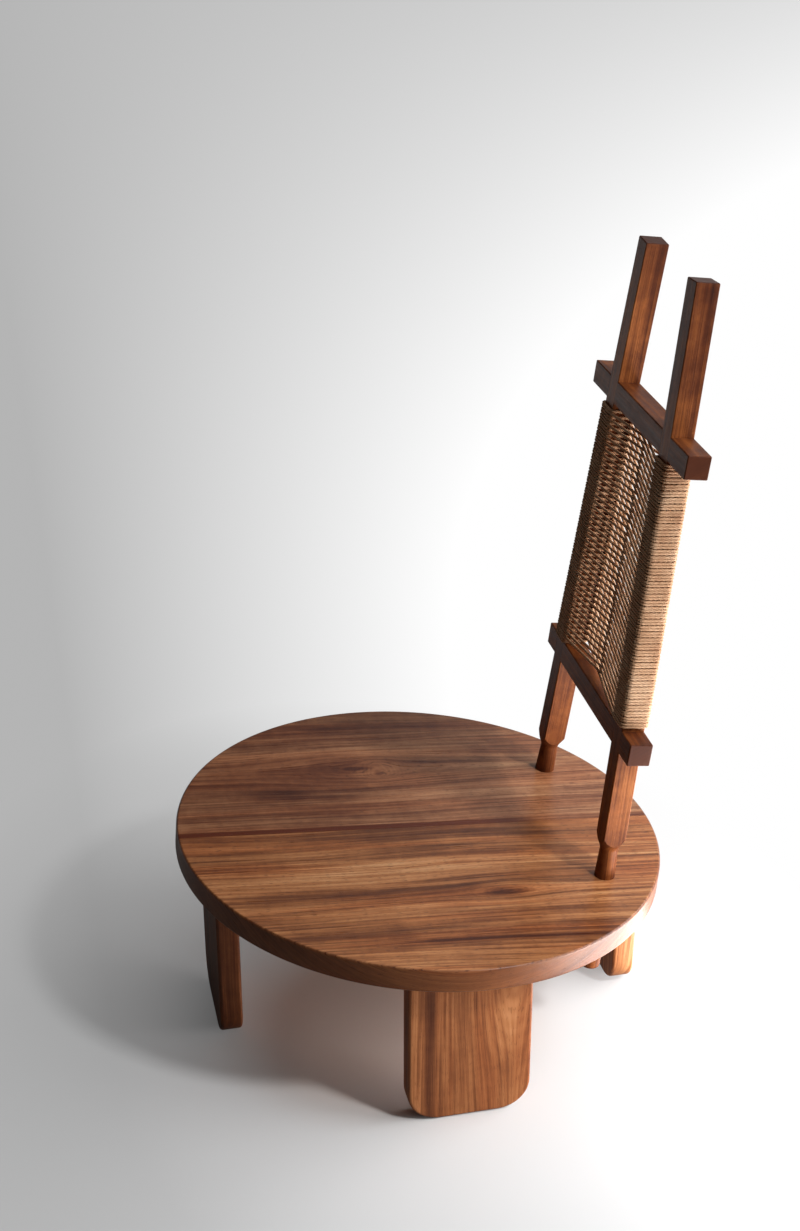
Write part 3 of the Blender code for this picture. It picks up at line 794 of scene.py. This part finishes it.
# Light: a window high on the chair's left and behind it, the pale wall beside it, a soft ceiling, and
# the bright floor on that side throwing light back low down.
def soft_lamp(name, spot, aim, width, height, power):
    """Flat lamp at a spot, aimed at a point, that the camera doesn't see."""
    lamp = bpy.data.lights.new(name, "AREA")
    lamp.shape = "RECTANGLE"
    lamp.size = width
    lamp.size_y = height
    lamp.energy = power
    stand = bpy.data.objects.new(name, lamp)
    bpy.context.scene.collection.objects.link(stand)
    stand.location = spot
    stand.rotation_euler = (Vector(spot) - Vector(aim)).to_track_quat("Z", "Y").to_euler()
    stand.visible_camera = False


soft_lamp("window", (1.82, 1.59, 2.75), (0, 0, 0.23), 0.36, 0.36, 54)
soft_lamp("pale_wall", (0.30, 1.35, 0.75), (0, 0, 0.25), 1.4, 0.9, 27)
soft_lamp("ceiling", (0, 0.3, 2.8), (0, 0, 0), 2.4, 2.4, 8)
soft_lamp("bounce", (0.45, 0.65, 0.07), (0.10, 0.05, 0.12), 0.5, 0.12, 7.5)
soft_lamp("sunlit_floor", (0.34, 0.46, 0.012), (0.34, 0.46, 1), 0.60, 0.34, 4.0)

world = bpy.data.worlds.new("studio")
bpy.context.scene.world = world
world.use_nodes = True
tree = world.node_tree
rays = tree.nodes.new("ShaderNodeLightPath")
way = tree.nodes.new("ShaderNodeSeparateXYZ")
tree.links.new(node(tree, "TexCoord", {}, output=0), way.inputs[0])
# Seen by the camera, the sky turns from grey to white towards the window: painted window light.
backdrop = slide(tree, way.outputs[1], -0.5, 0.5, GREY_SIDE, 1.0)
# In the wood's polish the sky is bright only on the window's side: a painted reflection.
painted_wall_reflection = slide(tree, way.outputs[1], 0.19, 0.42, 0.06, 1.0)
seen = node(tree, "Math", {0: rays.outputs["Is Camera Ray"], 1: rays.outputs["Is Transmission Ray"]},
            operation="MAXIMUM")
strength = slide(tree, seen, 0.0, 1.0, 0.03, backdrop)
strength = slide(tree, rays.outputs["Is Glossy Ray"], 0.0, 1.0, strength, painted_wall_reflection)
background = tree.nodes["Background"]
background.inputs["Color"].default_value = (0.97, 0.985, 1.0, 1)
tree.links.new(strength, background.inputs["Strength"])
bpy.context.scene.view_settings.view_transform = "Standard"


# Camera: above the chair's left side and a little to its front, looking down over the seat.
# Its focal length is in pixels of a frame 1231 pixels high.
FRAME_HEIGHT = 1231
FOCAL_PIXELS = 1945
SENSOR_HEIGHT = 36
CAMERA_FROM_SEAT = (1.99124, -0.46671, 1.31276)
LOOK_DOWN = math.radians(26.507)
LOOK_ROUND = math.radians(77.470)
camera = bpy.data.cameras.new("camera")
camera.sensor_fit = "VERTICAL"
camera.sensor_height = SENSOR_HEIGHT
camera.lens = SENSOR_HEIGHT * FOCAL_PIXELS / FRAME_HEIGHT
camera_stand = bpy.data.objects.new("camera", camera)
bpy.context.scene.collection.objects.link(camera_stand)
camera_stand.location = seat_frame.translation + Vector(CAMERA_FROM_SEAT)
camera_stand.rotation_euler = (math.radians(90) - LOOK_DOWN, 0, LOOK_ROUND)
bpy.context.scene.camera = camera_stand

bpy.context.view_layer.update()
